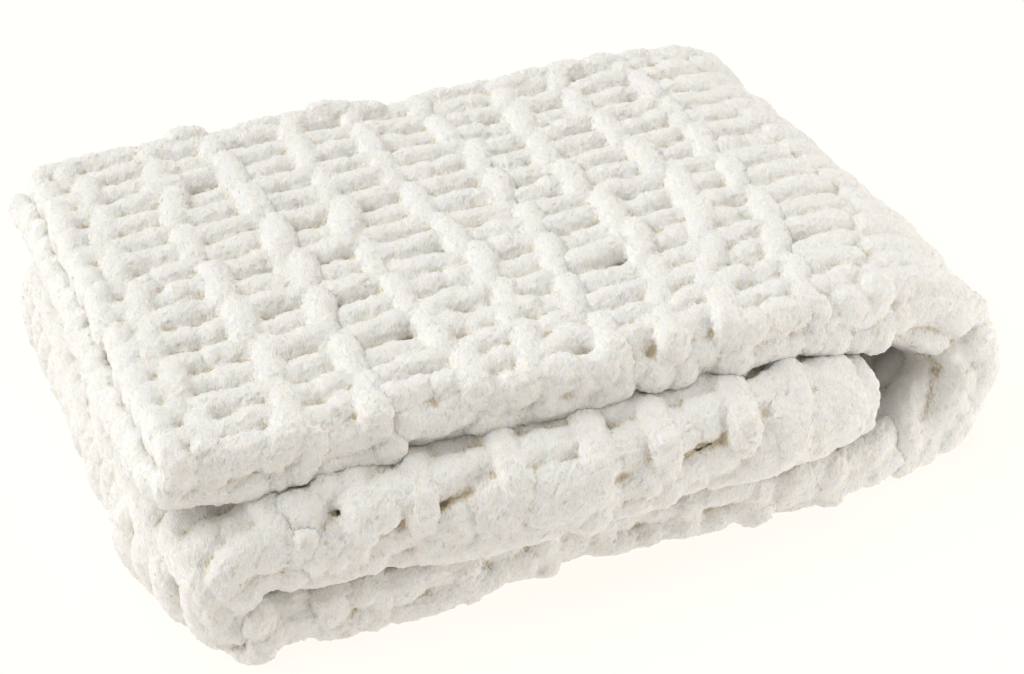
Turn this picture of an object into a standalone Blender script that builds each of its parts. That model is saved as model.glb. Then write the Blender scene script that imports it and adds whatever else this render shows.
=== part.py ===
"""A chunky knit blanket, folded and lying flat, as one solid.

The knitted cloth is doubled lengthways into a slab of two layers with a round fold at its front.
The slab is then folded in three like a letter: its middle run's free end is at +X, it turns down
at -X into the bottom run, turns up at +X in a wide turn round that free end, and comes back over
the top, to end at -X.

Metres, +Z up, +X along the front folds, -Y to the front. The origin is the middle of the box's base.
"""

from collections import namedtuple
from math import pi

import bpy
import numpy as np

# The cloth
LAYER = 0.0200  # thickness of one knitted layer at its ribs
RIB_RISE = 0.0055  # how far a rib stands over the valleys beside it
HALF_WIDTH = 0.322  # from the front fold to the long edge, along either layer
PLY_GAP = 0.0020  # between the two layers of the slab
RUN_GAP = 0.0020  # between one run of the slab and the next
ROUNDING = 0.0060  # how far in from an edge the cloth starts to thin
EDGE_THICKNESS = 0.60  # of an edge, as a share of the cloth's

# How far along the cloth some ribs lie, with even spaces between them. The first and last of these
# would lie past its ends.
RibPlace = namedtuple("RibPlace", "rib along")
RIB_PLACES = (
    RibPlace(-1, -0.030),
    RibPlace(8, 0.345),
    RibPlace(17, 0.725),
    RibPlace(22, 0.957),
    RibPlace(32, 1.410),
)

# The folded stack
STACK_LENGTH = 0.504  # along X, over both turns
FREE_END_INSET = 0.032  # the middle run stops this far short of the right turn's centre
TOP_END_INSET = 0.018  # the top run stops this far short of the left turn's outer line
LOWER_LAYER_STEP = 0.010  # the top run's lower layer sticks out this much past its upper one
LOWER_LAYER_REACH = 0.130  # and is drawn out over this much of its length

# How far forward the front folds lie. Each row is a place on a run, as a share of that run's length
# in the cloth's own direction, from the middle run's free end to the top run's.
Front = namedtuple("Front", "run share forward")
FRONT_LINE = (
    Front("middle", 0.00, 0.014),
    Front("middle", 0.20, 0.032),
    Front("middle", 0.50, 0.042),
    Front("middle", 0.75, 0.026),
    Front("middle", 1.00, 0.022),
    Front("bottom", 0.00, 0.026),
    Front("bottom", 0.50, 0.014),
    Front("bottom", 0.80, 0.026),
    Front("bottom", 1.00, 0.010),
    Front("top", 0.00, 0.000),
    Front("top", 0.50, 0.003),
    Front("top", 1.00, 0.000),
)

# How the stack gives: each is the most that it moves, over the reach from where it starts
SAG, SAG_FROM = 0.045, 0.060  # a share of the height, lost towards the right end
SKEW, SKEW_FROM = 0.008, -0.040  # the left end's back corner lies this much further right
CORNER, CORNER_FROM = 0.028, -0.110  # the left turn's front corner is drawn in by this much
CORNER_FRONT, CORNER_DEPTH = -0.026, 0.085  # from this depth, and less and less over this one

# Slow waves, in radians for each metre along, back and up
Wave = namedtuple("Wave", "along back up phase")
SWELL = 0.011  # a share of the height, in each of these
SWELL_WAVES = (Wave(21, -9, 0, 0.6), Wave(8, 13, 0, 0))
SWAY = 0.0025  # of the front folds
SWAY_WAVE = Wave(26, 0, 30, 0)
WANDER = 0.0035  # how far a rib strays to either side
WANDER_TURN = 24  # radians for each metre of its length
WANDER_SHIFT = 2.4  # radians from one rib to the next

# How far the top run's ribs lean over to the left at its front fold, from places along the cloth
Lean = namedtuple("Lean", "along shift")
LEANS = (Lean(0.840, 0), Lean(0.960, 0.036), Lean(1.045, 0.036), Lean(1.140, 0.012), Lean(1.220, 0))
LEAN_REACH = 0.120  # how far behind the fold they start to lean

# Stations
ACROSS_RIB = (-0.50, -0.25, -0.11, 0.11, 0.25)  # in each pitch, from the rib's middle
RIB_CREST, RIB_FOOT = 0.11, 0.25  # shares of the pitch, to either side of its middle
EDGE_CLEARANCE = 1.5 * ROUNDING  # no station of a rib lies nearer to an end
LAYER_STATIONS = (0.215, 0.120, 0.060)  # across either layer, behind the front fold
FOLD_STEPS = 6  # round the front fold

SLAB = 2 * LAYER + PLY_GAP
PLY_RADIUS = (LAYER + PLY_GAP) / 2  # of a layer's middle, round the front fold
QUARTER = pi / 2 * PLY_RADIUS
STACK_DEPTH = SLAB / 2 + HALF_WIDTH - QUARTER
RUN_PITCH = SLAB + RUN_GAP
LEFT_RADIUS = RUN_PITCH / 2
RIGHT_RADIUS = RUN_PITCH
BOTTOM_Z = SLAB / 2 - RIB_RISE
MIDDLE_Z = BOTTOM_Z + RUN_PITCH
TOP_Z = MIDDLE_Z + RUN_PITCH
TOP_UNDERSIDE = TOP_Z - SLAB / 2
LEFT_X = -STACK_LENGTH / 2 + SLAB / 2 + LEFT_RADIUS
RIGHT_X = STACK_LENGTH / 2 - SLAB / 2 - RIGHT_RADIUS
FREE_END_X = RIGHT_X - FREE_END_INSET
TOP_END_X = -STACK_LENGTH / 2 + TOP_END_INSET

# The slab's middle line in the XZ plane: straight stretches and half turns, in order. A straight one
# starts at x, z, and a half turn has its centre there.
Stretch = namedtuple("Stretch", "name length x z heading radius")
LINE = (
    Stretch("middle", FREE_END_X - LEFT_X, FREE_END_X, MIDDLE_Z, pi, 0),
    Stretch("left turn", pi * LEFT_RADIUS, LEFT_X, MIDDLE_Z - LEFT_RADIUS, pi, LEFT_RADIUS),
    Stretch("bottom", RIGHT_X - LEFT_X, LEFT_X, BOTTOM_Z, 0, 0),
    Stretch("right turn", pi * RIGHT_RADIUS, RIGHT_X, BOTTOM_Z + RIGHT_RADIUS, 0, RIGHT_RADIUS),
    Stretch("top", RIGHT_X - TOP_END_X, RIGHT_X, TOP_Z, pi, 0),
)
STRETCH_ENDS = np.cumsum([0] + [stretch.length for stretch in LINE])
CLOTH_LENGTH = STRETCH_ENDS[-1]


def smooth(low, high, value):
    """0 at low and 1 at high, with a soft start and end."""
    t = np.clip((value - low) / (high - low), 0, 1)
    return t * t * (3 - 2 * t)


def swing(wave, along, back, up):
    return np.sin(wave.along * along + wave.back * back + wave.up * up + wave.phase)


def on_line(u):
    """The middle line's point and its outward normal, u metres along from the middle run's free end."""
    index = min(int(np.searchsorted(STRETCH_ENDS, u, side="right")) - 1, len(LINE) - 1)
    stretch = LINE[index]
    along = u - STRETCH_ENDS[index]
    start = np.array([stretch.x, stretch.z])
    if stretch.radius:
        turned = stretch.heading + along / stretch.radius - pi / 2
        normal = np.array([np.cos(turned), np.sin(turned)])
        return start + stretch.radius * normal, normal
    heading = np.array([np.cos(stretch.heading), np.sin(stretch.heading)])
    return start + along * heading, np.array([heading[1], -heading[0]])


def forward(u):
    """How far forward the front fold lies, u metres along."""
    runs = {stretch.name: (start, stretch.length) for stretch, start in zip(LINE, STRETCH_ENDS)}
    places = [runs[front.run][0] + front.share * runs[front.run][1] for front in FRONT_LINE]
    return np.interp(u, places, [front.forward for front in FRONT_LINE])


def section(v, n):
    """The doubled cloth's section: v metres across from the front fold, and n out from the layer's
    middle. Returns the depth behind the fold and the height over the slab's middle line."""
    turn = min(abs(v), QUARTER) / PLY_RADIUS
    behind = max(abs(v) - QUARTER, 0)
    radius = PLY_RADIUS + n
    return SLAB / 2 - radius * np.cos(turn) + behind, np.sign(v) * radius * np.sin(turn)


def settle(x, depth, z):
    """Lets the stack sag, skew and swell as a pile of soft cloth does. The base stays flat."""
    left = smooth(CORNER_FROM, -STACK_LENGTH / 2, x) * (1 - smooth(TOP_UNDERSIDE, TOP_Z, z))
    x += CORNER * left * max(1 - (depth - CORNER_FRONT) / CORNER_DEPTH, 0) ** 2
    x += SKEW * smooth(SKEW_FROM, -STACK_LENGTH / 2, x) * depth / STACK_DEPTH
    z *= 1 - SAG * smooth(SAG_FROM, STACK_LENGTH / 2, x)
    z *= 1 + SWELL * sum(swing(wave, x, depth, z) for wave in SWELL_WAVES)
    return x, depth + SWAY * swing(SWAY_WAVE, x, depth, z), max(z, 0)


def place(u, v, n):
    """The point u along the cloth, v across it and n out from its middle."""
    inner = max(-np.sin(np.clip(v / PLY_RADIUS, -pi / 2, pi / 2)), 0)
    u += LOWER_LAYER_STEP * inner * smooth(CLOTH_LENGTH - LOWER_LAYER_REACH, CLOTH_LENGTH, u)
    (x, z), normal = on_line(u)
    depth, rise = section(v, n)
    return settle(x + normal[0] * rise, depth - forward(u), z + normal[1] * rise)


def rib_along(k):
    """Where rib k lies along the cloth. It may be a share of the way from one rib to the next."""
    return np.interp(k, [row.rib for row in RIB_PLACES], [row.along for row in RIB_PLACES])


def rib_at(u):
    """Which rib lies u metres along, as rib_along takes it."""
    return np.interp(u, [row.along for row in RIB_PLACES], [row.rib for row in RIB_PLACES])


def crest(u):
    """1 on a rib's crest and 0 in the valleys."""
    k = rib_at(u)
    return 1 - smooth(RIB_CREST, RIB_FOOT, abs(k - round(k)))


def stray(u, v):
    """How far a rib strays from its straight line. Nothing strays at the cloth's ends."""
    free = smooth(0, 2 * LAYER, min(u, CLOTH_LENGTH - u))
    wander = WANDER * free * np.sin(WANDER_TURN * v + WANDER_SHIFT * round(rib_at(u)))
    lean = np.interp(u, [lean.along for lean in LEANS], [lean.shift for lean in LEANS])
    return wander + lean * (1 - smooth(0, LEAN_REACH, abs(v)))


def thinned(edge_distance):
    """The cloth's thickness near an edge, as a share of its full one."""
    return EDGE_THICKNESS + (1 - EDGE_THICKNESS) * smooth(0, ROUNDING, edge_distance)


def stations_along():
    """A few places in each rib's pitch, and the two ends with their rounding."""
    ribs = [rib_along(k + share) for k in range(RIB_PLACES[-1].rib + 1) for share in ACROSS_RIB]
    inner = [u for u in ribs if EDGE_CLEARANCE < u < CLOTH_LENGTH - EDGE_CLEARANCE]
    return [0, ROUNDING, *inner, CLOTH_LENGTH - ROUNDING, CLOTH_LENGTH]


def stations_across():
    """From one long edge, along its layer, round the front fold and back to the other long edge."""
    layer = [HALF_WIDTH, HALF_WIDTH - ROUNDING, *LAYER_STATIONS, QUARTER]
    fold = np.linspace(QUARTER, -QUARTER, FOLD_STEPS + 1)[1:-1]
    return [*layer, *fold, *(-v for v in reversed(layer))]


def ring_of_points(u, widths):
    """The cloth's section at u: out along its right side, which has the ribs, and back."""
    end = thinned(min(u, CLOTH_LENGTH - u))
    right_side = []
    wrong_side = []
    for v in widths:
        half = min(end, thinned(HALF_WIDTH - abs(v))) * LAYER / 2
        strayed = u + stray(u, v)
        right_side.append(place(strayed, v, half - RIB_RISE * (1 - crest(u))))
        wrong_side.append(place(strayed, v, -half))
    return right_side + wrong_side[::-1]


def blanket_mesh():
    """Rings round the cloth's section, joined along it, with a strip of faces over each end."""
    widths = stations_across()
    points = [point for u in stations_along() for point in ring_of_points(u, widths)]
    ring = 2 * len(widths)
    last = len(points) - ring
    faces = []
    for start in range(0, last, ring):
        for k in range(ring):
            a, b = start + k, start + (k + 1) % ring
            faces.append((a, a + ring, b + ring, b))
    for k in range(len(widths) - 1):
        faces.append((k, k + 1, ring - 2 - k, ring - 1 - k))
        faces.append((last + k + 1, last + k, last + ring - 1 - k, last + ring - 2 - k))
    return points, faces


def centred(points):
    """The points with the middle of their box over the origin."""
    points = np.array(points)
    middle = (points.min(axis=0) + points.max(axis=0)) / 2
    return points - (middle[0], middle[1], 0)


def cream_chenille():
    material = bpy.data.materials.new("cream_chenille")
    material.use_nodes = True
    shader = material.node_tree.nodes["Principled BSDF"]
    shader.inputs["Base Color"].default_value = (0.86, 0.83, 0.77, 1)
    shader.inputs["Roughness"].default_value = 0.95
    shader.inputs["Metallic"].default_value = 0
    return material


def main():
    for old in list(bpy.data.objects):
        bpy.data.objects.remove(old)
    points, faces = blanket_mesh()
    mesh = bpy.data.meshes.new("blanket")
    mesh.from_pydata(centred(points), [], faces)
    mesh.materials.append(cream_chenille())
    mesh.shade_smooth()
    bpy.context.scene.collection.objects.link(bpy.data.objects.new("blanket", mesh))


main()
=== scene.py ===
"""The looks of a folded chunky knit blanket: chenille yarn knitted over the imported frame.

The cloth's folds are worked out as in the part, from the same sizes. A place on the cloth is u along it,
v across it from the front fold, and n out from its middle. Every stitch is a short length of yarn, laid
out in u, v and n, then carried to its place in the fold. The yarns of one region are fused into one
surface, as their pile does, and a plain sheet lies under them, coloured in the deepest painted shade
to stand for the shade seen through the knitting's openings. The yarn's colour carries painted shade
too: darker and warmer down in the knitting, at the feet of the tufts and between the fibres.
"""

from collections import namedtuple
from math import pi, radians

import bpy
import numpy as np
from mathutils import Matrix, Vector


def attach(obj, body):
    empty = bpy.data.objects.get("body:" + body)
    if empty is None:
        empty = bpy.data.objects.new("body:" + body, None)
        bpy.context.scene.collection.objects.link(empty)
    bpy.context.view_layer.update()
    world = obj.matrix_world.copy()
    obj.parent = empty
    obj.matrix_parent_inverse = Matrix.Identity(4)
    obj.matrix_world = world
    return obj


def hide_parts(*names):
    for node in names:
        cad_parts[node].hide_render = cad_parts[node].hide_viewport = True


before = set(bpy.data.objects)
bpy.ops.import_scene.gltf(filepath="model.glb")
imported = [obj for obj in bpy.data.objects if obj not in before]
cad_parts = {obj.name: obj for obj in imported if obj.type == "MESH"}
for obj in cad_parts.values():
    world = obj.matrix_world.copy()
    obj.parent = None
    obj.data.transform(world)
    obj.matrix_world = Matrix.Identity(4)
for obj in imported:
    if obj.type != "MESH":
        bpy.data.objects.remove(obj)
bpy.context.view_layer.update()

# The cloth, as in the part
LAYER = 0.0200  # thickness of one knitted layer at its ribs
RIB_RISE = 0.0055  # how far a rib stands over the valleys beside it
HALF_WIDTH = 0.322  # from the front fold to the long edge, along either layer
PLY_GAP = 0.0020  # between the two layers of the slab
RUN_GAP = 0.0020  # between one run of the slab and the next
RIB_PLACES = ((-1, -0.030), (8, 0.345), (17, 0.725), (22, 0.957), (32, 1.410))  # rib, how far along
LAST_RIB = 31

# The folded stack, as in the part
STACK_LENGTH = 0.504  # along X, over both turns
FREE_END_INSET = 0.032  # the middle run stops this far short of the right turn's centre
TOP_END_INSET = 0.018  # the top run stops this far short of the left turn's outer line
LOWER_LAYER_STEP = 0.010  # the top run's lower layer sticks out this much past its upper one
LOWER_LAYER_REACH = 0.130  # and is drawn out over this much of its length
Front = namedtuple("Front", "run share forward")  # how far forward the front fold lies, along each run
FRONT_LINE = (
    Front("middle", 0.00, 0.014),
    Front("middle", 0.20, 0.032),
    Front("middle", 0.50, 0.042),
    Front("middle", 0.75, 0.026),
    Front("middle", 1.00, 0.022),
    Front("bottom", 0.00, 0.026),
    Front("bottom", 0.50, 0.014),
    Front("bottom", 0.80, 0.026),
    Front("bottom", 1.00, 0.010),
    Front("top", 0.00, 0.000),
    Front("top", 0.50, 0.003),
    Front("top", 1.00, 0.000),
)
SAG, SAG_FROM = 0.045, 0.060  # a share of the height, lost towards the right end
SKEW, SKEW_FROM = 0.008, -0.040  # the left end's back corner lies this much further right
CORNER, CORNER_FROM = 0.028, -0.110  # the left turn's front corner is drawn in by this much
CORNER_FRONT, CORNER_DEPTH = -0.026, 0.085  # from this depth, and less and less over this one
Wave = namedtuple("Wave", "along back up phase")  # in radians for each metre
SWELL = 0.011  # a share of the height, in each of these
SWELL_WAVES = (Wave(21, -9, 0, 0.6), Wave(8, 13, 0, 0))
SWAY = 0.0025  # of the front folds
SWAY_WAVE = Wave(26, 0, 30, 0)
WANDER = 0.0035  # how far a rib strays to either side
WANDER_TURN = 24  # radians for each metre of its length
WANDER_SHIFT = 2.4  # radians from one rib to the next
LEANS = ((0.840, 0), (0.960, 0.036), (1.045, 0.036), (1.140, 0.012), (1.220, 0))  # how far along, shift
LEAN_REACH = 0.120  # how far behind the front fold the ribs start to lean
STACK_MIDDLE = (0.00246, 0.14417)  # of the stack's box, which is moved over the origin

# How the soft cloth differs from the part's plain layers
NOSE = 0.0055  # how much fuller the front fold is than a half round
LEDGE = 0.0132  # how much fuller the middle run's upper layer is, where it comes out from under the top run
LEDGE_FRONT = (-0.004, 0.024)  # v where it starts, and where it is full
LEDGE_FADE = 0.036  # how far under the top run it ends
BELLY = 0.0040  # how much fuller the middle run's lower layer is, just behind the front fold
BELLY_FRONT, BELLY_BACK = (-0.004, -0.014), (-0.055, -0.035)  # v where it starts and is full, and so back
RUN_START, RUN_END = 0.020, 0.030  # over this much of the middle run's two ends both fade
TURN_FILL = 0.0160  # how much fuller the right turn's inner layer is
TURN_FILL_FRONT, TURN_FILL_BACK = (-0.006, -0.026), (-0.200, -0.140)
TURN_FILL_BEFORE, TURN_FILL_FADE = 0.030, 0.020  # it starts this far before the turn, and fades over this
DROOP, DROOP_FROM, DROOP_TO = 0.014, 0.115, 0.185  # how far the top run's lower layer hangs, from x to x
DROOP_DEPTH, DROOP_FADE = 0.100, 0.055  # less and less over this depth, and this far below the top run
OVERHANG, OVERHANG_DEPTH = 0.007, 0.120  # how far the right turn leans out at its front, over this depth

SLAB = 2 * LAYER + PLY_GAP
PLY_RADIUS = (LAYER + PLY_GAP) / 2  # of a layer's middle, round the front fold
QUARTER = pi / 2 * PLY_RADIUS
STACK_DEPTH = SLAB / 2 + HALF_WIDTH - QUARTER
RUN_PITCH = SLAB + RUN_GAP
LEFT_RADIUS = RUN_PITCH / 2
RIGHT_RADIUS = RUN_PITCH
BOTTOM_Z = SLAB / 2 - RIB_RISE
MIDDLE_Z = BOTTOM_Z + RUN_PITCH
TOP_Z = MIDDLE_Z + RUN_PITCH
TOP_UNDERSIDE = TOP_Z - SLAB / 2
LEFT_X = -STACK_LENGTH / 2 + SLAB / 2 + LEFT_RADIUS
RIGHT_X = STACK_LENGTH / 2 - SLAB / 2 - RIGHT_RADIUS
FREE_END_X = RIGHT_X - FREE_END_INSET
TOP_END_X = -STACK_LENGTH / 2 + TOP_END_INSET

# The slab's middle line in the XZ plane: straight stretches and half turns, in order. A straight one
# starts at x, z, and a half turn has its centre there.
Stretch = namedtuple("Stretch", "name length x z heading radius")
LINE = (
    Stretch("middle", FREE_END_X - LEFT_X, FREE_END_X, MIDDLE_Z, pi, 0),
    Stretch("left turn", pi * LEFT_RADIUS, LEFT_X, MIDDLE_Z - LEFT_RADIUS, pi, LEFT_RADIUS),
    Stretch("bottom", RIGHT_X - LEFT_X, LEFT_X, BOTTOM_Z, 0, 0),
    Stretch("right turn", pi * RIGHT_RADIUS, RIGHT_X, BOTTOM_Z + RIGHT_RADIUS, 0, RIGHT_RADIUS),
    Stretch("top", RIGHT_X - TOP_END_X, RIGHT_X, TOP_Z, pi, 0),
)
STRETCH_ENDS = np.cumsum([0] + [stretch.length for stretch in LINE])
MIDDLE_RUN_END, TURN_START, TURN_END = STRETCH_ENDS[1], STRETCH_ENDS[3], STRETCH_ENDS[4]
CLOTH_LENGTH = STRETCH_ENDS[-1]
FRONT_PLACES = [
    STRETCH_ENDS[i] + front.share * stretch.length
    for front in FRONT_LINE
    for i, stretch in enumerate(LINE)
    if stretch.name == front.run
]

SEED = 11
STEP = 0.0005  # the distance over which slopes are measured
UNSETTLE_ROUNDS = 20  # enough to undo settle


def smooth(low, high, value):
    """0 at low and 1 at high, with a soft start and end. Low may be the higher of the two."""
    t = np.clip((value - low) / (high - low), 0, 1)
    return t * t * (3 - 2 * t)


def swing(wave, x, depth, z):
    return np.sin(wave.along * x + wave.back * depth + wave.up * z + wave.phase)


def line_values(index):
    """The x, z, heading and radius of the stretches that have these indices in LINE."""
    rows = [(stretch.x, stretch.z, stretch.heading, stretch.radius) for stretch in LINE]
    return [np.array(column, float)[index] for column in zip(*rows)]


def on_line(u):
    """The middle line's x, z and its outward normal's x, z, u metres along."""
    index = np.clip(np.searchsorted(STRETCH_ENDS, u, side="right") - 1, 0, len(LINE) - 1)
    passed = u - STRETCH_ENDS[index]
    x, z, heading, radius = line_values(index)
    turned = passed / np.where(radius > 0, radius, 1) * (radius > 0)
    angle = heading + turned - pi / 2
    run = passed * (radius == 0)
    nx, nz = np.cos(angle), np.sin(angle)
    return x + radius * nx + run * np.cos(heading), z + radius * nz + run * np.sin(heading), nx, nz


def along(rib, v):
    """u of a place this many ribs along the cloth and v across it. The cloth strays as its ribs do."""
    low = np.floor(rib)
    share = rib - low
    u = np.interp(rib, *zip(*RIB_PLACES))
    free = smooth(0, 2 * LAYER, np.minimum(u, CLOTH_LENGTH - u))
    here = np.sin(WANDER_TURN * v + WANDER_SHIFT * low)
    there = np.sin(WANDER_TURN * v + WANDER_SHIFT * (low + 1))
    lean = np.interp(u, *zip(*LEANS)) * (1 - smooth(0, LEAN_REACH, abs(v)))
    return u + WANDER * free * ((1 - share) * here + share * there) + lean


def forward(u):
    """How far forward the front fold lies, u metres along."""
    return np.interp(u, FRONT_PLACES, [front.forward for front in FRONT_LINE])


def droop(x, depth, z):
    """How far the top run's lower layer hangs down at the front, by the right turn."""
    level = smooth(TOP_Z + SLAB / 2, TOP_UNDERSIDE, z) * smooth(TOP_UNDERSIDE - DROOP_FADE, TOP_UNDERSIDE, z)
    return DROOP * level * smooth(DROOP_FROM, DROOP_TO, x) * (1 - smooth(0, DROOP_DEPTH, depth))


def overhang(x, depth, z):
    """How far the right turn leans out at the front: its top outwards and its foot inwards."""
    level = np.clip((z - MIDDLE_Z) / RUN_PITCH, -1, 1)
    return OVERHANG * level * smooth(RIGHT_X, STACK_LENGTH / 2, x) * (1 - smooth(0, OVERHANG_DEPTH, depth))


def settle(x, depth, z):
    """Lets the stack sag, skew, lean and swell as a pile of soft cloth does, and centres it."""
    left = smooth(CORNER_FROM, -STACK_LENGTH / 2, x) * (1 - smooth(TOP_UNDERSIDE, TOP_Z, z))
    x = x + CORNER * left * np.maximum(1 - (depth - CORNER_FRONT) / CORNER_DEPTH, 0) ** 2
    x = x + SKEW * smooth(SKEW_FROM, -STACK_LENGTH / 2, x) * depth / STACK_DEPTH
    x = x + overhang(x, depth, z)
    z = z - droop(x, depth, z)
    z = z * (1 - SAG * smooth(SAG_FROM, STACK_LENGTH / 2, x))
    z = z * (1 + SWELL * sum(swing(wave, x, depth, z) for wave in SWELL_WAVES))
    depth = depth + SWAY * swing(SWAY_WAVE, x, depth, z)
    return np.stack([x - STACK_MIDDLE[0], depth - STACK_MIDDLE[1], z], -1)


def nose(turn):
    """How much fuller than a half round the front fold is, turned this far from its middle."""
    return NOSE * np.sin(2 * turn) ** 2


def fullness(u, v):
    """How much thicker a layer is in places: the middle run's upper layer, where it comes out from under
    the top run, its lower layer just behind the front fold, and the inner layer of the right turn."""
    edge = QUARTER + forward(u) - SLAB / 2
    middle = smooth(0, RUN_START, u) * (1 - smooth(MIDDLE_RUN_END - RUN_END, MIDDLE_RUN_END, u))
    covered = smooth(edge + LEDGE_FADE / 4, edge + LEDGE_FADE, v)
    ledge = LEDGE * middle * smooth(*LEDGE_FRONT, v) * (1 - covered)
    belly = BELLY * middle * smooth(*BELLY_FRONT, v) * smooth(*BELLY_BACK, v)
    turn = smooth(TURN_START - TURN_FILL_BEFORE, TURN_START + TURN_FILL_FADE, u)
    turn = turn * (1 - smooth(TURN_END - TURN_FILL_FADE, TURN_END + TURN_FILL_FADE, u))
    fill = TURN_FILL * turn * smooth(*TURN_FILL_FRONT, v) * smooth(*TURN_FILL_BACK, v)
    return ledge + belly + fill


def place(u, v, n):
    """World points, as an array with a last axis of 3."""
    u, v, n = np.broadcast_arrays(u, v, n)
    inner = np.maximum(-np.sin(np.clip(v / PLY_RADIUS, -pi / 2, pi / 2)), 0)
    u = u + LOWER_LAYER_STEP * inner * smooth(CLOTH_LENGTH - LOWER_LAYER_REACH, CLOTH_LENGTH, u)
    x, z, nx, nz = on_line(u)
    turn = np.minimum(abs(v), QUARTER) / PLY_RADIUS
    n = n + nose(turn) + fullness(u, v)
    behind = np.maximum(abs(v) - QUARTER, 0)
    depth = SLAB / 2 - (PLY_RADIUS + n) * np.cos(turn) + behind
    rise = np.sign(v) * (PLY_RADIUS + n) * np.sin(turn)
    return settle(x + nx * rise, depth - forward(u), z + nz * rise)


def stretch_of(spec, x, z):
    """The index in LINE of the stretch that each point of a region lies on."""
    names = [stretch.name for stretch in LINE]
    if spec.run:
        straight = np.full(len(x), names.index(spec.run))
    elif spec.turn == "right turn":
        straight = np.where(z > BOTTOM_Z + RIGHT_RADIUS, names.index("top"), names.index("bottom"))
    else:
        straight = np.where(z > MIDDLE_Z - LEFT_RADIUS, names.index("middle"), names.index("bottom"))
    turned = x > RIGHT_X if spec.turn == "right turn" else x < LEFT_X
    return np.where(turned, names.index(spec.turn), straight)


def unplace(points, spec):
    """u, v and n of world points that lie in a region: the way back from place."""
    guess = points + np.array([*STACK_MIDDLE, 0])
    for _ in range(UNSETTLE_ROUNDS):
        guess += points - settle(guess[:, 0], guess[:, 1], guess[:, 2])
    x, depth, z = guess.T
    index = stretch_of(spec, x, z)
    start_x, start_z, heading, radius = line_values(index)
    dx, dz = x - start_x, z - start_z
    turned = (np.arctan2(dz, dx) - heading + pi / 2 + pi) % (2 * pi) - pi
    way = np.cos(heading)
    passed = np.where(radius > 0, turned * radius, dx * way)
    rise = np.where(radius > 0, np.hypot(dx, dz) - radius, -dz * way)
    u = STRETCH_ENDS[index] + passed
    depth = depth + forward(u)
    fold = depth < SLAB / 2
    turned = np.arctan2(rise, SLAB / 2 - depth)
    v = np.where(fold, turned * PLY_RADIUS, np.sign(rise) * (depth - SLAB / 2 + QUARTER))
    out = np.hypot(SLAB / 2 - depth, rise) - nose(np.minimum(abs(turned), pi / 2))
    n = np.where(fold, out, abs(rise)) - PLY_RADIUS - fullness(u, v)
    return u, v, n


# Across the cloth, the yarn is measured at its own level, which is wider than v round the front fold
OUTER = (PLY_RADIUS + LAYER / 4) / PLY_RADIUS  # by this factor
ROW = 0.0206  # from one row of bars to the next
HEM, HEM_EDGE = 0.030, 0.003  # the stitches draw together over this much, and end this far from the edge


def v_of(s):
    """v of a place s metres across from the front fold, measured at the yarn's level."""
    edge = QUARTER * OUTER
    return np.where(abs(s) < edge, s / OUTER, np.sign(s) * (abs(s) - edge + QUARTER))


def s_of(v):
    return np.where(abs(v) < QUARTER, v * OUTER, np.sign(v) * (abs(v) - QUARTER + QUARTER * OUTER))


def hem(s):
    """Places across the cloth, drawn together by its edges so that none passes them."""
    start = s_of(HALF_WIDTH) - HEM_EDGE - HEM
    past = np.maximum(abs(s) - start, 0)
    return np.sign(s) * (np.minimum(abs(s), start) + HEM * (1 - np.exp(-past / HEM)))


def stretch_across(u, v, n):
    """How much longer a step across the cloth is at this place than s says."""
    ahead, behind = place(u, v_of(s_of(v) + STEP), n), place(u, v_of(s_of(v) - STEP), n)
    return np.linalg.norm(ahead - behind, axis=-1) / (2 * STEP)


# Lengths of yarn: the rib or valley that each lies in, the place of its middle across the cloth, and
# its places and radii along it
Yarns = namedtuple("Yarns", "column middle u v n across out")
SIDES = 12  # round a length of yarn
PLACES = 15  # along a length of yarn
T = np.linspace(0, 1, PLACES)[None]  # the share of a yarn's length at each of its places
TIP = 0.02  # a yarn's thickness at its very ends, as a share
LUMP_WAVES, SECOND_LUMPS = (7, 13), 0.6  # radians along a yarn, and the second wave's height
ROWS = int(np.ceil(float(s_of(HALF_WIDTH)) / ROW)) + 1  # from the front fold to either edge
STAGGER_TURN = 1.7  # radians from one rib's stitches to the next one's

# How unevenly each kind of stitch is knitted: how far it strays along, across and out, and the
# spread of its size and of its thickness, as shares. None is where it doesn't stray.
Stray = namedtuple("Stray", "along across out size lumps")


def unit(vectors):
    return vectors / np.maximum(np.linalg.norm(vectors, axis=-1, keepdims=True), 1e-9)


def above_floor(points):
    """The points, with those under the floor brought up to it."""
    return np.maximum(points, (-np.inf, -np.inf, 0))


def yarn_mesh(u, v, n, across, out):
    """Closed lengths of yarn. Each row of the arrays is one yarn, with its radii across and out."""
    centre = place(u, v, n)
    normal = unit(place(u, v, n + STEP) - place(u, v, n - STEP))
    tangent = unit(np.gradient(centre, axis=1))
    side = unit(np.cross(tangent, normal))
    normal = np.cross(side, tangent)
    angle = np.arange(SIDES) * 2 * pi / SIDES
    ring = (
        centre[:, :, None]
        + (across[..., None] * np.cos(angle))[..., None] * side[:, :, None]
        + (out[..., None] * np.sin(angle))[..., None] * normal[:, :, None]
    )
    index = np.arange(u.size * SIDES).reshape(*u.shape, SIDES)
    turned = np.roll(index, -1, axis=2)
    faces = [np.stack([index[:, :-1], turned[:, :-1], turned[:, 1:], index[:, 1:]], -1).reshape(-1, 4)]
    first, last = index[:, 0], index[:, -1]
    for k in range(SIDES // 2 - 1):
        a, b, c, d = k, k + 1, SIDES - 2 - k, SIDES - 1 - k
        faces.append(np.stack([first[:, a], first[:, d], first[:, c], first[:, b]], -1))
        faces.append(np.stack([last[:, a], last[:, b], last[:, c], last[:, d]], -1))
    return above_floor(ring).reshape(-1, 3), np.concatenate(faces)


def capsule(power):
    """A yarn's thickness along it, as a share: full in the middle and round at its ends."""
    return np.sqrt(np.maximum(1 - abs(2 * T - 1) ** power, TIP**2))


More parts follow.
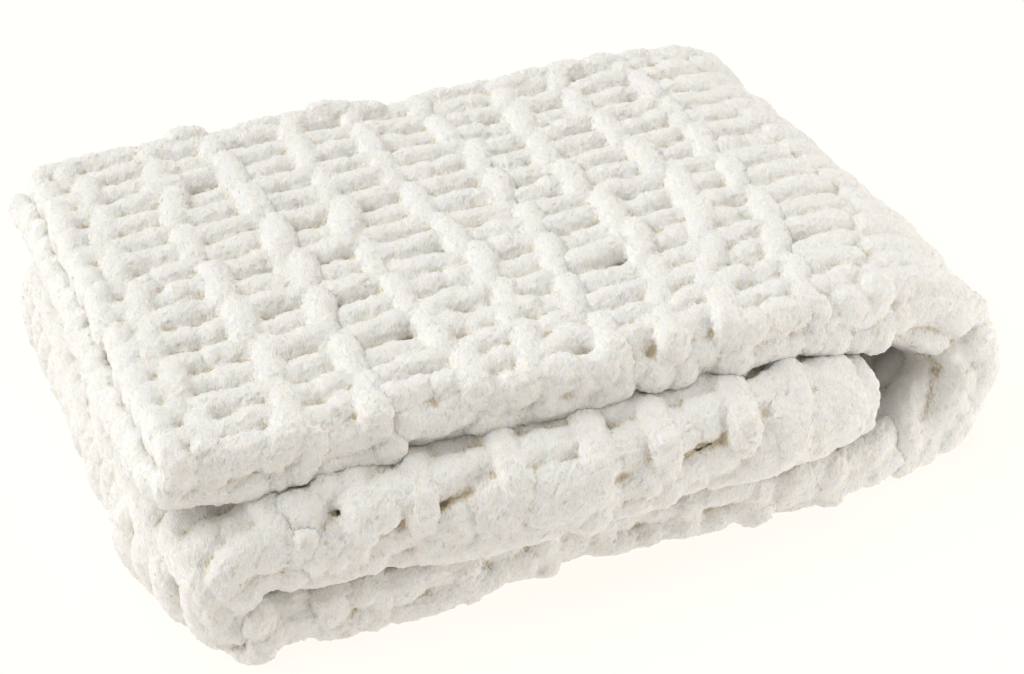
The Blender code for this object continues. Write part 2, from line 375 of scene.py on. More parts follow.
def cells(columns, rows):
    """Columns and rows of every cell, as two columns of numbers."""
    column, row = np.meshgrid(np.arange(columns), rows, indexing="ij")
    return column.ravel()[:, None].astype(float), row.ravel()[:, None].astype(float)


def lumpy(rng, shape, share):
    """A yarn's uneven thickness along it."""
    phase = rng.uniform(0, 2 * pi, (2, *shape))
    slow, quick = LUMP_WAVES
    return 1 + share * (np.sin(slow * T + phase[0]) + SECOND_LUMPS * np.sin(quick * T + phase[1]))


def joined(parts):
    return Yarns(*(np.concatenate(arrays) for arrays in zip(*parts)))


# The ribs' links
LINK = 2 * ROW  # from one link of a rib to the next
LINK_LENGTH, LENGTH_SPREAD = 1.60 * LINK, 0.04
LINK_STAGGER = 0.006  # how far across the links of each rib are shifted
LINK_RADIUS = 0.0088
LINK_FLATNESS = 0.75  # its radius out from the cloth, as a share of that along it
LINK_ROUNDNESS = 6.0  # the higher, the blunter its ends
LINK_LEVEL = 0.0011  # n of a link's middle
LINK_SLANT, SLANT_SPREAD = 0.0060, 0.30  # how far along its ends lie to either side
LINK_DIVE, DIVE_FROM = 0.0060, 0.55  # its tail goes under the next link, from this share of its length
LINK_THINNING, THIN_FROM = 0.34, 0.45  # and gets thinner
HEAD_DIVE, HEAD_TO = 0.002, 0.12  # its head dips at the very front
LINK_TUCK, TUCK_FROM, TUCK_FULL = 0.0025, -0.004, -0.016  # lower on the inner layers, from v to v
LINK_TIGHT = 0.0055  # lower round the top of the right turn
TIGHT_FROM, TIGHT_FULL, TIGHT_TO = 0.100, 0.060, 0.030  # how far before the turn's end, and past it
LINK_STRAY = Stray(0.0014, 0.0016, 0.0006, 0.05, 0.05)


def links(rng):
    """The ribs: chains of slanted links. Each has its round head over the thin tail of the one before."""
    rib, link = cells(LAST_RIB + 1, np.arange(-ROWS // 2, ROWS // 2 + 1))
    shape = rib.shape
    middle = (link + 0.5) * LINK + LINK_STAGGER * np.sin(STAGGER_TURN * rib)
    middle = middle + rng.normal(0, LINK_STRAY.across, shape)
    v = v_of(hem(middle + LINK_LENGTH * (0.5 - T) * (1 + rng.normal(0, LENGTH_SPREAD, shape))))
    slant = LINK_SLANT * (1 + rng.normal(0, SLANT_SPREAD, shape))
    u = along(rib, v) + slant * (2 * T - 1) + rng.normal(0, LINK_STRAY.along, shape)
    n = LINK_LEVEL + rng.normal(0, LINK_STRAY.out, shape)
    n = n - LINK_DIVE * smooth(DIVE_FROM, 1.0, T) - HEAD_DIVE * smooth(HEAD_TO, 0, T)
    n = n - LINK_TUCK * smooth(TUCK_FROM, TUCK_FULL, v)
    tight = smooth(TURN_END - TIGHT_FROM, TURN_END - TIGHT_FULL, u)
    n = n - LINK_TIGHT * tight * smooth(TURN_END + TIGHT_TO, TURN_END, u)
    size = LINK_RADIUS * (1 + rng.normal(0, LINK_STRAY.size, shape)) * capsule(LINK_ROUNDNESS)
    size = size * (1 - LINK_THINNING * smooth(THIN_FROM, 1.0, T))
    size = size * lumpy(rng, shape, LINK_STRAY.lumps)
    return Yarns(rib[:, 0], middle[:, 0], u, v, n, size, LINK_FLATNESS * size)


# Openings in the knitting: the valley's first rib and the share of the way to the next, the place
# across, how far the yarn is pushed aside, and over what share of the valley
Gap = namedtuple("Gap", "place across push wide")
GAPS = (
    Gap(30.33, 0.009, 0.0036, 0.10),
    Gap(29.28, 0.012, 0.0048, 0.14),
    Gap(28.42, 0.015, 0.0036, 0.10),
    Gap(27.30, 0.014, 0.0046, 0.14),
    Gap(26.33, 0.016, 0.0070, 0.16),
    Gap(25.31, 0.017, 0.0070, 0.18),
    Gap(24.35, 0.011, 0.0050, 0.16),
    Gap(23.30, 0.002, 0.0026, 0.11),
    Gap(22.41, 0.002, 0.0028, 0.12),
    Gap(22.50, 0.029, 0.0030, 0.10),
    Gap(30.37, 0.110, 0.0036, 0.07),
    Gap(30.39, 0.048, 0.0030, 0.09),
    Gap(29.27, 0.156, 0.0040, 0.10),
    Gap(28.78, 0.104, 0.0042, 0.08),
    Gap(28.36, 0.104, 0.0028, 0.08),
    Gap(28.30, 0.249, 0.0034, 0.08),
    Gap(28.73, 0.188, 0.0034, 0.06),
    Gap(27.78, 0.108, 0.0036, 0.08),
    Gap(27.25, 0.089, 0.0036, 0.07),
    Gap(27.78, 0.040, 0.0042, 0.09),
    Gap(27.47, 0.064, 0.0034, 0.08),
    Gap(26.40, 0.106, 0.0038, 0.09),
    Gap(26.78, 0.059, 0.0036, 0.07),
    Gap(26.74, 0.250, 0.0036, 0.08),
    Gap(26.67, 0.230, 0.0032, 0.07),
    Gap(25.31, 0.080, 0.0034, 0.20),
    Gap(25.60, 0.234, 0.0032, 0.07),
    Gap(24.33, 0.080, 0.0044, 0.08),
    Gap(24.58, 0.144, 0.0030, 0.08),
    Gap(24.73, 0.270, 0.0044, 0.08),
    Gap(23.35, 0.052, 0.0058, 0.11),
    Gap(23.35, 0.248, 0.0040, 0.09),
    Gap(23.72, 0.160, 0.0032, 0.08),
    Gap(22.67, 0.226, 0.0034, 0.08),
    Gap(8.38, 0.037, 0.0024, 0.10),
    Gap(7.24, 0.042, 0.0018, 0.09),
    Gap(7.42, 0.007, 0.0008, 0.09),
    Gap(6.70, 0.041, 0.0014, 0.08),
    Gap(6.42, 0.006, 0.0010, 0.08),
    Gap(5.32, 0.006, 0.0010, 0.07),
    Gap(4.34, 0.020, 0.0022, 0.08),
    Gap(3.48, 0.032, 0.0022, 0.08),
    Gap(3.24, 0.003, 0.0012, 0.08),
    Gap(2.45, 0.040, 0.0016, 0.16),
    Gap(2.30, 0.002, 0.0006, 0.08),
    Gap(1.36, 0.021, 0.0020, 0.08),
    Gap(0.62, 0.028, 0.0024, 0.10),
    Gap(11.30, -0.009, 0.0034, 0.12),
    Gap(12.45, -0.009, 0.0038, 0.12),
    Gap(13.26, -0.008, 0.0038, 0.12),
    Gap(13.76, -0.008, 0.0034, 0.10),
    Gap(15.40, -0.010, 0.0036, 0.12),
    Gap(17.40, -0.020, 0.0036, 0.13),
    Gap(18.50, -0.016, 0.0044, 0.13),
    Gap(20.50, -0.120, 0.0044, 0.13),
    Gap(19.60, -0.170, 0.0040, 0.13),
    Gap(20.40, 0.180, 0.0016, 0.10),
)
GAP_FADE = 0.4  # of the push, from one row to the next
SMALL_GAP_CHANCE = 0.09
SMALL_GAP_PLACES = (0.23, 0.77)  # beside the ribs
SMALL_GAP_PUSH = (0.0010, 0.0030)
SMALL_GAP_WIDTH = 0.10
Opening = namedtuple("Opening", "valley middle below push wide")  # below is the row under it

# The bars between the ribs
BAR_PHASE = 0.25  # of a row: how far past it a bar's middle lies
BAR_ACROSS = 0.0102  # a bar's radius across the cloth
BAR_OUT = 0.0090  # and out from it
BAR_ROUNDNESS = 6.0
BAR_FULLNESS = ((0, 1.16), (8, 1.16), (9, 1.06), (18, 1.06), (19, 1.13), (22, 1.13), (23, 1.0))  # by rib
MOST_STRETCH = 1.7  # how much wider at most a bar gets where the cloth is drawn out
BAR_LEVEL = -0.0028  # n of a bar's middle
BAR_DIVE = 0.0008  # its ends lie lower
BAR_STAGGER, BAR_STAGGER_SHIFT = 0.005, 0.6  # as the links', and radians from theirs
BAR_TILT, TILT_SPREAD = 0.0022, 0.0013
BAR_ARCH, ARCH_SPREAD = 0.0003, 0.0006  # to one side and the other by turns
FOLD_THINNING = 0.08  # how much thinner a bar is round the front fold
FOLD_FADE = (0.7, 1.9)  # where the fold's hold on it starts to fade and ends, in quarter turns
LAST_VALLEY = 0.42  # how far the last bars reach past the last rib, as a share of a pitch
SPLIT_CHANCE = 0.35  # that a bar is a short lump and a longer one
SPLIT_AT, SPLIT_OVERLAP, SPLIT_STRAY = (0.34, 0.50), 0.05, 0.0011
FLIP_UPSET = 1.3  # above 1, so that some splits lie on the same side as in the row before
BAR_STRAY = Stray(None, 0.0007, 0.0010, 0.03, 0.04)


def round_fold(v):
    """1 round the front fold and 0 in the flat cloth behind it."""
    start, end = FOLD_FADE
    return 1 - smooth(start * QUARTER, end * QUARTER, abs(v))


def openings(rng):
    """Every opening: those listed, and small ones strewn beside the ribs."""
    found = []
    for gap in GAPS:
        below = np.round(s_of(gap.across) / ROW - (BAR_PHASE + 0.5))
        found.append(Opening(np.floor(gap.place), gap.place % 1, below, gap.push, gap.wide))
    for rib in range(LAST_RIB + 1):
        for row in range(-ROWS, ROWS):
            if rng.random() < SMALL_GAP_CHANCE:
                middle = rng.choice(SMALL_GAP_PLACES)
                found.append(Opening(rib, middle, row, rng.uniform(*SMALL_GAP_PUSH), SMALL_GAP_WIDTH))
    return found


def pushed(opening, rib, row, where):
    """How far an opening pushes each place of the bars aside."""
    over = row - opening.below
    away = np.where(over > 0, GAP_FADE ** abs(over - 1), -(GAP_FADE ** abs(over)))
    near = np.exp(-(((where - opening.middle) / opening.wide) ** 2))
    return (rib == opening.valley) * opening.push * away * near


def bars(rng):
    """The rows between the ribs: each a bar from rib to rib, or a short lump and a longer bar."""
    rib, row = cells(LAST_RIB + 1, np.arange(-ROWS, ROWS + 1))
    shape = rib.shape
    width = np.where(rib < LAST_RIB, 1, LAST_VALLEY)
    split = (rng.random(shape) < SPLIT_CHANCE) & (rib < LAST_RIB)
    flip = (row + np.floor(rng.random(shape) * FLIP_UPSET)) % 2 == 0
    share = np.where(split, rng.uniform(*SPLIT_AT, shape), 1.0)
    middle = (row + BAR_PHASE) * ROW + BAR_STAGGER * np.sin(STAGGER_TURN * rib + BAR_STAGGER_SHIFT)
    middle = middle + rng.normal(0, BAR_STRAY.across, shape)
    tilt = BAR_TILT + rng.normal(0, TILT_SPREAD, shape)
    gaps = openings(rng)
    first_parts = (np.zeros(shape), share + SPLIT_OVERLAP, np.ones(len(rib), bool))
    second_parts = (share - SPLIT_OVERLAP, np.ones(shape), split[:, 0])
    found = []
    for low, high, kept in (first_parts, second_parts):
        low, high = np.where(flip, 1 - high, low), np.where(flip, 1 - low, high)
        where = (low + (high - low) * T) * width
        arch = rng.normal(0, ARCH_SPREAD, shape) + BAR_ARCH * np.where(row % 2 == 0, 1, -1)
        s = middle - tilt * (2 * where - 1) + arch * (2 * T - 1) ** 2 * (high - low)
        s = s + rng.normal(0, SPLIT_STRAY, shape) * split
        for opening in gaps:
            s = s + pushed(opening, rib, row, where)
        v = v_of(s)
        u = along(rib + where, v)
        n = BAR_LEVEL + rng.normal(0, BAR_STRAY.out, shape) - BAR_DIVE * abs(2 * where / width - 1) ** 3
        size = (1 + rng.normal(0, BAR_STRAY.size, shape)) * capsule(BAR_ROUNDNESS)
        size = size * lumpy(rng, shape, BAR_STRAY.lumps)
        fuller = np.interp(rib + where, *zip(*BAR_FULLNESS))
        across = BAR_ACROSS * fuller * size * (1 - FOLD_THINNING * round_fold(v))
        across = across * np.clip(stretch_across(u, v, n), 1, MOST_STRETCH)
        yarn = Yarns(rib[:, 0], middle[:, 0], u, v, n, across, BAR_OUT * size)
        found.append([array[kept] for array in yarn])
    return joined(found)


# The cast-off stitches along the long edges, two to a rib's pitch
CAST_OFF_START, CAST_OFF_LENGTH = -0.12, 0.74  # of a pitch
CAST_OFF_INSET, CAST_OFF_SLANT = 0.0085, 0.004  # from the edge, and across from end to end
CAST_OFF_RADIUS, CAST_OFF_ROUNDNESS = 0.0088, 3.0
CAST_OFF_LEVEL, CAST_OFF_RISE = -0.0010, 0.0040  # n of its middle, and from its tail to its head
CAST_OFF_STRAY = Stray(None, 0.0018, 0.0016, 0.08, 0.05)


def edge_lumps(rng):
    """The cast-off stitches along both long edges."""
    rib, half = cells(LAST_RIB, np.array([0, 0.5]))
    shape = rib.shape
    found = []
    for side in (1, -1):
        v = HALF_WIDTH - CAST_OFF_INSET + rng.normal(0, CAST_OFF_STRAY.across, shape)
        v = side * (v + CAST_OFF_SLANT * (T - 0.5))
        u = along(rib + half + CAST_OFF_START + CAST_OFF_LENGTH * T, v)
        n = CAST_OFF_LEVEL + rng.normal(0, CAST_OFF_STRAY.out, shape) + CAST_OFF_RISE * (0.5 - T)
        size = CAST_OFF_RADIUS * (1 + rng.normal(0, CAST_OFF_STRAY.size, shape))
        size = size * capsule(CAST_OFF_ROUNDNESS) * lumpy(rng, shape, CAST_OFF_STRAY.lumps)
        found.append(Yarns(rib[:, 0], v[:, PLACES // 2], u, v, n, size, size))
    return joined(found)


# The chain of stitches along the top run's end
CHAIN_LENGTH = 1.5 * ROW  # of each
CHAIN_INSET, CHAIN_SLANT = 0.0080, 0.0020  # from the end, and along to either side
CHAIN_RADIUS, CHAIN_ROUNDNESS = 0.0080, 4.0
CHAIN_LEVEL, CHAIN_DIVE = -0.0010, 0.0030  # n, and how far the tail goes under
CHAIN_STRAY = Stray(0.0008, 0.0010, 0.0006, 0.05, None)


def end_chain(rng):
    """The chain of stitches along the top run's end."""
    first, row = cells(1, np.arange(-ROWS, ROWS + 1))
    shape = row.shape
    middle = row * ROW + rng.normal(0, CHAIN_STRAY.across, shape)
    v = v_of(middle + CHAIN_LENGTH * (0.5 - T))
    u = CLOTH_LENGTH - CHAIN_INSET + CHAIN_SLANT * (2 * T - 1) + rng.normal(0, CHAIN_STRAY.along, shape)
    n = CHAIN_LEVEL - CHAIN_DIVE * smooth(0.5, 1.0, T) + rng.normal(0, CHAIN_STRAY.out, shape)
    size = CHAIN_RADIUS * (1 + rng.normal(0, CHAIN_STRAY.size, shape)) * capsule(CHAIN_ROUNDNESS)
    return Yarns((first + LAST_RIB)[:, 0], middle[:, 0], u, v, n, size, size)


# The regions of the knitting: each piece's first and last ribs, the run and the turn that they lie on,
# and the grain of its surface. Where no run is named, they lie on both of those beside the turn.
Region = namedtuple("Region", "name first last run turn grain")
REGIONS = (
    Region("top_run_left", 29, 31, "top", "right turn", 0.00165),
    Region("top_run_middle", 26, 28, "top", "right turn", 0.00165),
    Region("top_run_right", 23, 25, "top", "right turn", 0.00165),
    Region("right_turn", 19, 22, "", "right turn", 0.0018),
    Region("bottom_run", 10, 18, "bottom", "left turn", 0.0018),
    Region("left_turn", 8, 9, "", "left turn", 0.0018),
    Region("middle_run", 0, 7, "middle", "left turn", 0.0018),
)

# Which of the yarn shows, and is made: its ribs, and from v to v
Window = namedtuple("Window", "first last low high")
EDGE_WINDOW = 0.045
WINDOWS = (
    Window(19, 31, -0.055, HALF_WIDTH),
    Window(30, 31, -HALF_WIDTH, HALF_WIDTH),
    Window(16, 25, -HALF_WIDTH, 0),
    Window(0, 18, -0.055, 0.075),
    Window(8, 10, 0, HALF_WIDTH),
    Window(0, 1, -0.16, 0.16),
    Window(0, 31, -HALF_WIDTH, -HALF_WIDTH + EDGE_WINDOW),
    Window(0, 31, HALF_WIDTH - EDGE_WINDOW, HALF_WIDTH),
)
EDGE_CLEARANCE = 0.006  # no yarn's middle lies nearer to a long edge
SOFTEN, SOFTEN_ROUNDS = 0.5, 3  # how far the fused surface is smoothed
LUMP_SIZE, LUMP_HEIGHT = 0.0090, 0.0018  # and then made uneven
DEEPEST = -0.0056  # n below which no yarn is kept, but for the edges
EDGE_BAND, END_BAND, START_BAND = 0.016, 0.030, 0.016  # how wide the edges are

# The pile, and the painted shade of each point: 0 on the yarn and 1 deep down in the knitting, a darker and
# warmer colour that stands for the shade in its valleys, creases and openings
TUFT_HEIGHT = (-0.0001, 0.0010)
TUFT_STRAY = 0.00018
TUFT_FOOT_SHADE, TUFT_SHADE_FADE = 0.06, 60  # painted shade at a tuft's foot, and how much less of it for each metre that the tip stands higher
VALLEY_PAINTED_SHADE, VALLEY_FROM, VALLEY_FULL = 0.62, 0.0010, -0.0050  # painted shade down in the valleys between the yarns, from n to n
# painted shade in the creases and dips of the fused surface
DIP_PAINTED_SHADE, DIP_FROM, DIP_FULL = 0.72, 0.0003, 0.0018
DIP_ROUNDS = 20


def mesh_from(name, points, faces):
    """A mesh of faces that all have the same number of corners."""
    count, corners = faces.shape
    mesh = bpy.data.meshes.new(name)
    mesh.vertices.add(len(points))
    mesh.vertices.foreach_set("co", points.astype(np.float32).ravel())
    mesh.loops.add(faces.size)
    mesh.loops.foreach_set("vertex_index", faces.astype(np.int32).ravel())
    mesh.polygons.add(count)
    mesh.polygons.foreach_set("loop_start", np.arange(0, faces.size, corners, dtype=np.int32))
    mesh.update(calc_edges=True)
    mesh.validate()
    return mesh


def arrays_of(mesh):
    """The points and faces of a mesh whose faces all have four corners."""
    points = np.empty(len(mesh.vertices) * 3, np.float32)
    mesh.vertices.foreach_get("co", points)
    quads = np.empty(len(mesh.polygons) * 4, np.int32)
    mesh.polygons.foreach_get("vertices", quads)
    return points.reshape(-1, 3).astype(float), quads.reshape(-1, 4)


def add_object(name, data):
    obj = bpy.data.objects.new(name, data)
    bpy.context.scene.collection.objects.link(obj)
    return obj


def dress(mesh, painted_shade):
    """Smooth shading, and the painted shade of every point, for the material."""
    mesh.shade_smooth()
    attribute = mesh.attributes.new("painted_shade", "FLOAT", "POINT")
    attribute.data.foreach_set("value", painted_shade.astype(np.float32))


def chosen(yarns, spec):
    """The yarns of one region that show."""
    v = v_of(yarns.middle)
    shows = np.zeros(len(v), bool)
    for window in WINDOWS:
        inside = (yarns.column >= window.first) & (yarns.column <= window.last)
        shows |= inside & (v > window.low) & (v < window.high)
    shows &= (yarns.column >= spec.first) & (yarns.column <= spec.last)
    shows &= abs(v) < HALF_WIDTH - EDGE_CLEARANCE
    return Yarns(*(array[shows] for array in yarns))


def fused(spec, sets):
    """An object of one region's yarns, fused into one surface."""
    made = [yarn_mesh(*chosen(yarns, spec)[2:]) for yarns in sets]
    offsets = np.cumsum([0] + [len(points) for points, _ in made])
    points = np.concatenate([points for points, _ in made])
    quads = np.concatenate([quads + offset for (_, quads), offset in zip(made, offsets)])
    obj = add_object(spec.name, mesh_from(spec.name, points, quads))
    fuse = obj.modifiers.new("fuse", "REMESH")
    fuse.mode = "VOXEL"
    fuse.voxel_size = spec.grain
    fuse.use_smooth_shade = True
    soften = obj.modifiers.new("soften", "SMOOTH")
    soften.factor = SOFTEN
    soften.iterations = SOFTEN_ROUNDS
    relief = bpy.data.textures.new("lumps", "CLOUDS")
    relief.noise_scale = LUMP_SIZE
    lumps = obj.modifiers.new("lumps", "DISPLACE")
    lumps.texture = relief
    lumps.texture_coords = "LOCAL"
    lumps.strength = LUMP_HEIGHT
    graph = bpy.context.evaluated_depsgraph_get()
    mesh = bpy.data.meshes.new_from_object(obj.evaluated_get(graph))
    obj.modifiers.clear()
    obj.data = mesh
    return obj


def normals_of(points, quads):
    corners = points[quads]
    faces = np.cross(corners[:, 2] - corners[:, 0], corners[:, 3] - corners[:, 1])
    sums = [np.bincount(quads.ravel(), faces[:, axis].repeat(4), len(points)) for axis in range(3)]
    return unit(np.stack(sums, -1))


def dip(points, quads):
    """How far each point lies under the points round it, in metres, along its normal."""
    edges = np.concatenate([quads[:, [k, (k + 1) % 4]] for k in range(4)])
    edges = np.concatenate([edges, edges[:, ::-1]])
    count = np.maximum(np.bincount(edges[:, 0], minlength=len(points)), 1)[:, None]
    around = points
    for _ in range(DIP_ROUNDS):
        sums = [np.bincount(edges[:, 0], around[edges[:, 1], axis], len(points)) for axis in range(3)]
        around = np.stack(sums, -1) / count
    return ((around - points) * normals_of(points, quads)).sum(-1)


def pile(points, quads, rng):
    """The yarn's pile: every point drawn out to the tip of a tuft, or left at its foot. Returns the
    points, and the painted shade that each gets for it: more at a tuft's foot, less at its tip."""
    height = rng.uniform(*TUFT_HEIGHT, (len(points), 1))
    tips = points + normals_of(points, quads) * height + rng.normal(0, TUFT_STRAY, points.shape)
    return above_floor(tips), TUFT_FOOT_SHADE - TUFT_SHADE_FADE * (height[:, 0] - TUFT_HEIGHT[0])


def knitting(spec, sets, rng):
    """The piece of one region: its yarns fused, without what lies too deep to show, and their pile."""
    obj = fused(spec, sets)
    points, quads = arrays_of(obj.data)
    u, v, n = unplace(points, spec)
    edge = (abs(v) > HALF_WIDTH - EDGE_BAND) | (u > CLOTH_LENGTH - END_BAND) | (u < START_BAND)
    # Painted shade: darker, warmer colour down in the valleys (but for the edges), and in the creases and
    # dips
    painted_shade = VALLEY_PAINTED_SHADE * smooth(VALLEY_FROM, VALLEY_FULL, n) * ~edge
    painted_shade = painted_shade + DIP_PAINTED_SHADE * smooth(DIP_FROM, DIP_FULL, dip(points, quads))
    kept = (n > DEEPEST) | edge
    quads = quads[kept[quads].all(axis=1)]
    used = np.unique(quads)
    number = np.full(len(points), -1)
    number[used] = np.arange(len(used))
    quads = number[quads]
    points, shade = pile(points[used], quads, rng)
    obj.data = mesh_from(spec.name, points, quads)
    dress(obj.data, painted_shade[used] + shade)
    return obj


# The shade sheet, under the yarn: a plain sheet in the deepest painted shade, standing for the shade seen
# through the knitting's openings
CORE_END, CORE_SIDE = 0.014, 0.010  # how far in from the cloth's edges it stops
CORE_OUTSIDE, CORE_INSIDE = -0.0056, -0.0076  # n of its two faces
CORE_ALONG, CORE_LAYER, CORE_FOLD = 150, 18, 16  # places along it, across a layer and round the fold
# the sheet's painted shade, past the darkest end of the colour ramp
SHEET_PAINTED_SHADE = 1.1


def shade_sheet():
    """The plain sheet under the yarn, all in the deepest painted shade."""
    us = np.linspace(CORE_END, CLOTH_LENGTH - CORE_END, CORE_ALONG)
    vs = np.concatenate([
        np.linspace(-HALF_WIDTH + CORE_SIDE, -QUARTER, CORE_LAYER),
        np.linspace(-QUARTER, QUARTER, CORE_FOLD)[1:-1],
        np.linspace(QUARTER, HALF_WIDTH - CORE_SIDE, CORE_LAYER),
    ])
    u, v = np.meshgrid(us, vs, indexing="ij")
    ring = above_floor(np.concatenate([place(u, v, CORE_OUTSIDE), place(u, v, CORE_INSIDE)[:, ::-1]], axis=1))
    rows, count = ring.shape[:2]
    index = np.arange(rows * count).reshape(rows, count)
    turned = np.roll(index, -1, axis=1)
    k = np.arange(count // 2 - 1)
    first, last = index[0], index[-1]
    quads = (
        np.stack([index[:-1], index[1:], turned[1:], turned[:-1]], -1).reshape(-1, 4),
        np.stack([first[k], first[k + 1], first[count - 2 - k], first[count - 1 - k]], -1),
        np.stack([last[k + 1], last[k], last[count - 1 - k], last[count - 2 - k]], -1),
    )
    mesh = mesh_from("shade_sheet", ring.reshape(-1, 3), np.concatenate(quads))
    dress(mesh, np.full(len(mesh.vertices), SHEET_PAINTED_SHADE))
    return add_object("shade_sheet", mesh)


# The chenille's relief: a noise of this scale, and how high it stands
Relief = namedtuple("Relief", "scale roughness strength height")
CLUMPS = Relief(330, 0.55, 0.8, 0.0006)
FIBRES = Relief(1100, 0.70, 1.0, 0.0013)
NOISE_DETAIL = 2
COMBED = (1.0, 0.38, 0.38)  # the fibres' noise is drawn out by this
FIBRE_SHADE, FIBRE_SHADE_SHIFT = -2.4, 1.22  # painted shade from the fibres' noise: how much less of it the fibres' tips get, and what is added

# The chenille's colour by its painted shade: cream on the yarn, darker and warmer tan deep down in the
# knitting
PAINTED_SHADE_COLOURS = (
    (0.00, (0.925, 0.918, 0.892, 1)),
    (0.45, (0.88, 0.845, 0.775, 1)),
    (1.00, (0.68, 0.59, 0.44, 1)),
)
CHENILLE = {
    "Roughness": 1.0,
    "Specular IOR Level": 0.1,
    "Sheen Weight": 0.30,
    "Sheen Roughness": 0.45,
    "Subsurface Weight": 0.65,
    "Subsurface Radius": (1.0, 0.86, 0.68),
    "Subsurface Scale": 0.0022,
}


def set_inputs(node, values):
    for name, value in values.items():
        node.inputs[name].default_value = value


def noise(tree, relief, vector):
    """A noise of this relief's scale at these coordinates. Returns its height."""
    node = tree.nodes.new("ShaderNodeTexNoise")
    set_inputs(node, {"Scale": relief.scale, "Detail": NOISE_DETAIL, "Roughness": relief.roughness})
    tree.links.new(vector, node.inputs["Vector"])
    return node.outputs["Fac"]


def bump(tree, relief, height):
    node = tree.nodes.new("ShaderNodeBump")
    set_inputs(node, {"Strength": relief.strength, "Distance": relief.height})
    tree.links.new(height, node.inputs["Height"])
    return node


def colour_ramp(tree, shade):
    """The chenille's colour for this much painted shade."""
    node = tree.nodes.new("ShaderNodeValToRGB")
    stops = node.color_ramp.elements
    stops[0].position, stops[1].position = PAINTED_SHADE_COLOURS[0][0], PAINTED_SHADE_COLOURS[-1][0]
    stops[0].color, stops[1].color = PAINTED_SHADE_COLOURS[0][1], PAINTED_SHADE_COLOURS[-1][1]
    for position, colour in PAINTED_SHADE_COLOURS[1:-1]:
        stops.new(position).color = colour
    tree.links.new(shade, node.inputs["Fac"])
    return node.outputs["Color"]


def chenille():
    """The yarn: soft pile, its colour painted with shade from the meshes' attribute, warmer and darker down
    in the knitting, and darker where the fibres' noise is low.
    """
    material = bpy.data.materials.new("chenille")
    material.use_nodes = True
    tree = material.node_tree
    shader = tree.nodes["Principled BSDF"]
    set_inputs(shader, CHENILLE)
    coordinates = tree.nodes.new("ShaderNodeTexCoord").outputs["Object"]
    combed = tree.nodes.new("ShaderNodeMapping")
    set_inputs(combed, {"Scale": COMBED})
    tree.links.new(coordinates, combed.inputs["Vector"])
    fibres = noise(tree, FIBRES, combed.outputs["Vector"])
    clumps = bump(tree, CLUMPS, noise(tree, CLUMPS, coordinates))
    nap = bump(tree, FIBRES, fibres)
    tree.links.new(clumps.outputs["Normal"], nap.inputs["Normal"])
    tree.links.new(nap.outputs["Normal"], shader.inputs["Normal"])
    painted_shade = tree.nodes.new("ShaderNodeAttribute")
    painted_shade.attribute_name = "painted_shade"
    # Painted shade from the fibres' noise, added to the meshes' painted shade
    fibre_shade = tree.nodes.new("ShaderNodeMath")
    fibre_shade.operation = "MULTIPLY_ADD"
    set_inputs(fibre_shade, {1: FIBRE_SHADE, 2: FIBRE_SHADE_SHIFT})
    tree.links.new(fibres, fibre_shade.inputs[0])
    shade = tree.nodes.new("ShaderNodeMath")
    shade.operation = "ADD"
    tree.links.new(painted_shade.outputs["Fac"], shade.inputs[0])
    tree.links.new(fibre_shade.outputs[0], shade.inputs[1])
    tree.links.new(colour_ramp(tree, shade.outputs[0]), shader.inputs["Base Color"])
    return material


# The studio: suns, soft as large windows, by the way that each shines
Light = namedtuple("Light", "name power angle way colour")
LIGHTS = (
    Light("key", 2.02, 80, (0.35, -0.32, -1.0), (0.985, 1.0, 1.0)),
    Light("side", 1.18, 80, (1.0, 0.0, -0.55), (1.0, 1.0, 1.0)),
    Light("fill", 1.36, 70, (-1.0, 0.02, -0.12), (1.0, 0.945, 0.86)),
)
CARD_POWER, CARD_WIDTH, CARD_HEIGHT = 2.3, 0.50, 0.16  # a low lit card by the front's right end
CARD_PLACE, CARD_WAY = (0.75, -0.55, 0.10), (-0.51, 0.37, 0.0)
WORLD_POWER, WORLD_COLOUR = 0.23, (1.0, 0.93, 0.83, 1)
FLOOR_SIZE, FLOOR_Z = 30, -0.0005
FLOOR = {
    "Base Color": (0.15, 0.15, 0.15, 1),
    "Roughness": 0.9,
    "Specular IOR Level": 0.0,
    "Emission Color": (1.0, 0.95, 0.89, 1),
    "Emission Strength": 0.91,
}


def lamp(name, data, way):
    """A light that shines this way."""
    obj = add_object(name, data)
    obj.rotation_euler = Vector(way).to_track_quat("-Z", "Y").to_euler()
    return obj


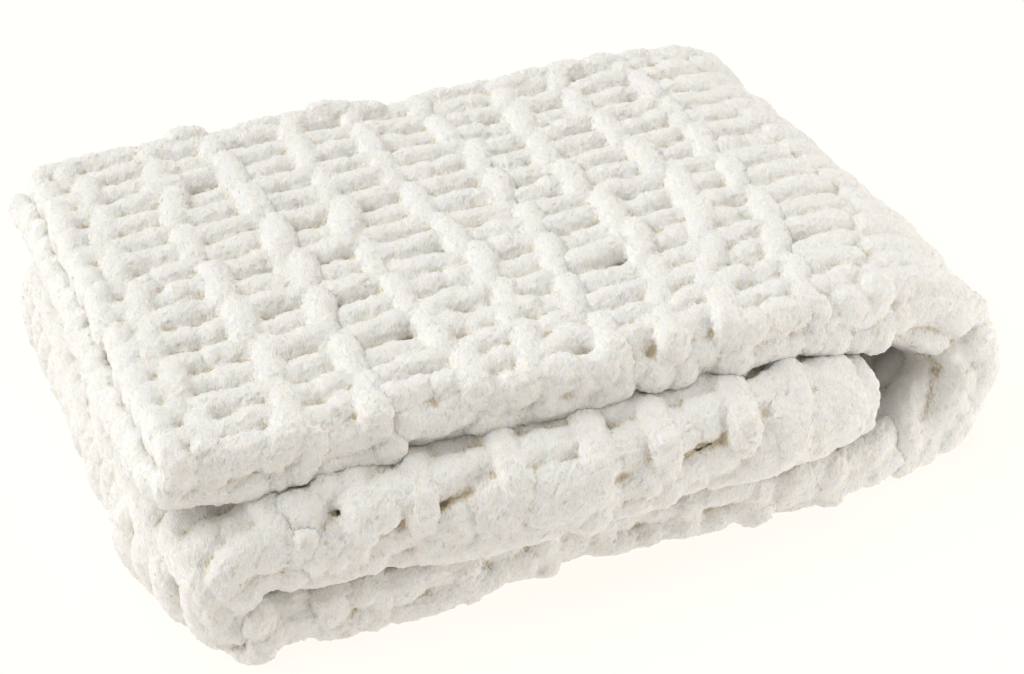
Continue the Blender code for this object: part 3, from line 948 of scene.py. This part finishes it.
def lights():
    for light in LIGHTS:
        sun = bpy.data.lights.new(light.name, "SUN")
        sun.energy = light.power
        sun.angle = radians(light.angle)
        sun.color = light.colour
        lamp(light.name, sun, light.way)
    card = bpy.data.lights.new("card", "AREA")
    card.shape = "RECTANGLE"
    card.size, card.size_y = CARD_WIDTH, CARD_HEIGHT
    card.energy = CARD_POWER
    obj = lamp("card", card, CARD_WAY)
    obj.location = CARD_PLACE
    obj.visible_camera = False


def floor():
    bpy.ops.mesh.primitive_plane_add(size=FLOOR_SIZE, location=(0, 0, FLOOR_Z))
    plane = bpy.context.object
    plane.name = "floor"
    material = bpy.data.materials.new("floor")
    material.use_nodes = True
    set_inputs(material.node_tree.nodes["Principled BSDF"], FLOOR)
    plane.data.materials.append(material)


def studio():
    world = bpy.data.worlds.new("studio")
    world.use_nodes = True
    set_inputs(world.node_tree.nodes["Background"], {"Color": WORLD_COLOUR, "Strength": WORLD_POWER})
    bpy.context.scene.world = world
    bpy.context.scene.view_settings.view_transform = "Standard"
    lights()
    floor()


CAMERA_PLACE = (-0.4226, -0.9981, 0.7372)
CAMERA_YAW, CAMERA_PITCH, CAMERA_ROLL = 23.17, 32.49, 0.20  # degrees
CAMERA_LENS, CAMERA_SENSOR = 79.1, 36  # mm


def camera():
    data = bpy.data.cameras.new("camera")
    data.lens = CAMERA_LENS
    data.sensor_width = CAMERA_SENSOR
    obj = add_object("camera", data)
    turn = Matrix.Rotation(-radians(CAMERA_YAW), 4, "Z") @ Matrix.Rotation(radians(90 - CAMERA_PITCH), 4, "X")
    turn = turn @ Matrix.Rotation(-radians(CAMERA_ROLL), 4, "Z")
    obj.matrix_world = Matrix.Translation(CAMERA_PLACE) @ turn
    bpy.context.scene.camera = obj


camera()
studio()
rng = np.random.default_rng(SEED)
sets = (links(rng), bars(rng), edge_lumps(rng), end_chain(rng))
pieces = [knitting(spec, sets, rng) for spec in REGIONS]
shade_backing = shade_sheet()
material = chenille()
for piece in [shade_backing, *pieces]:
    piece.data.materials.append(material)
    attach(piece, "root")
    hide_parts("blanket")
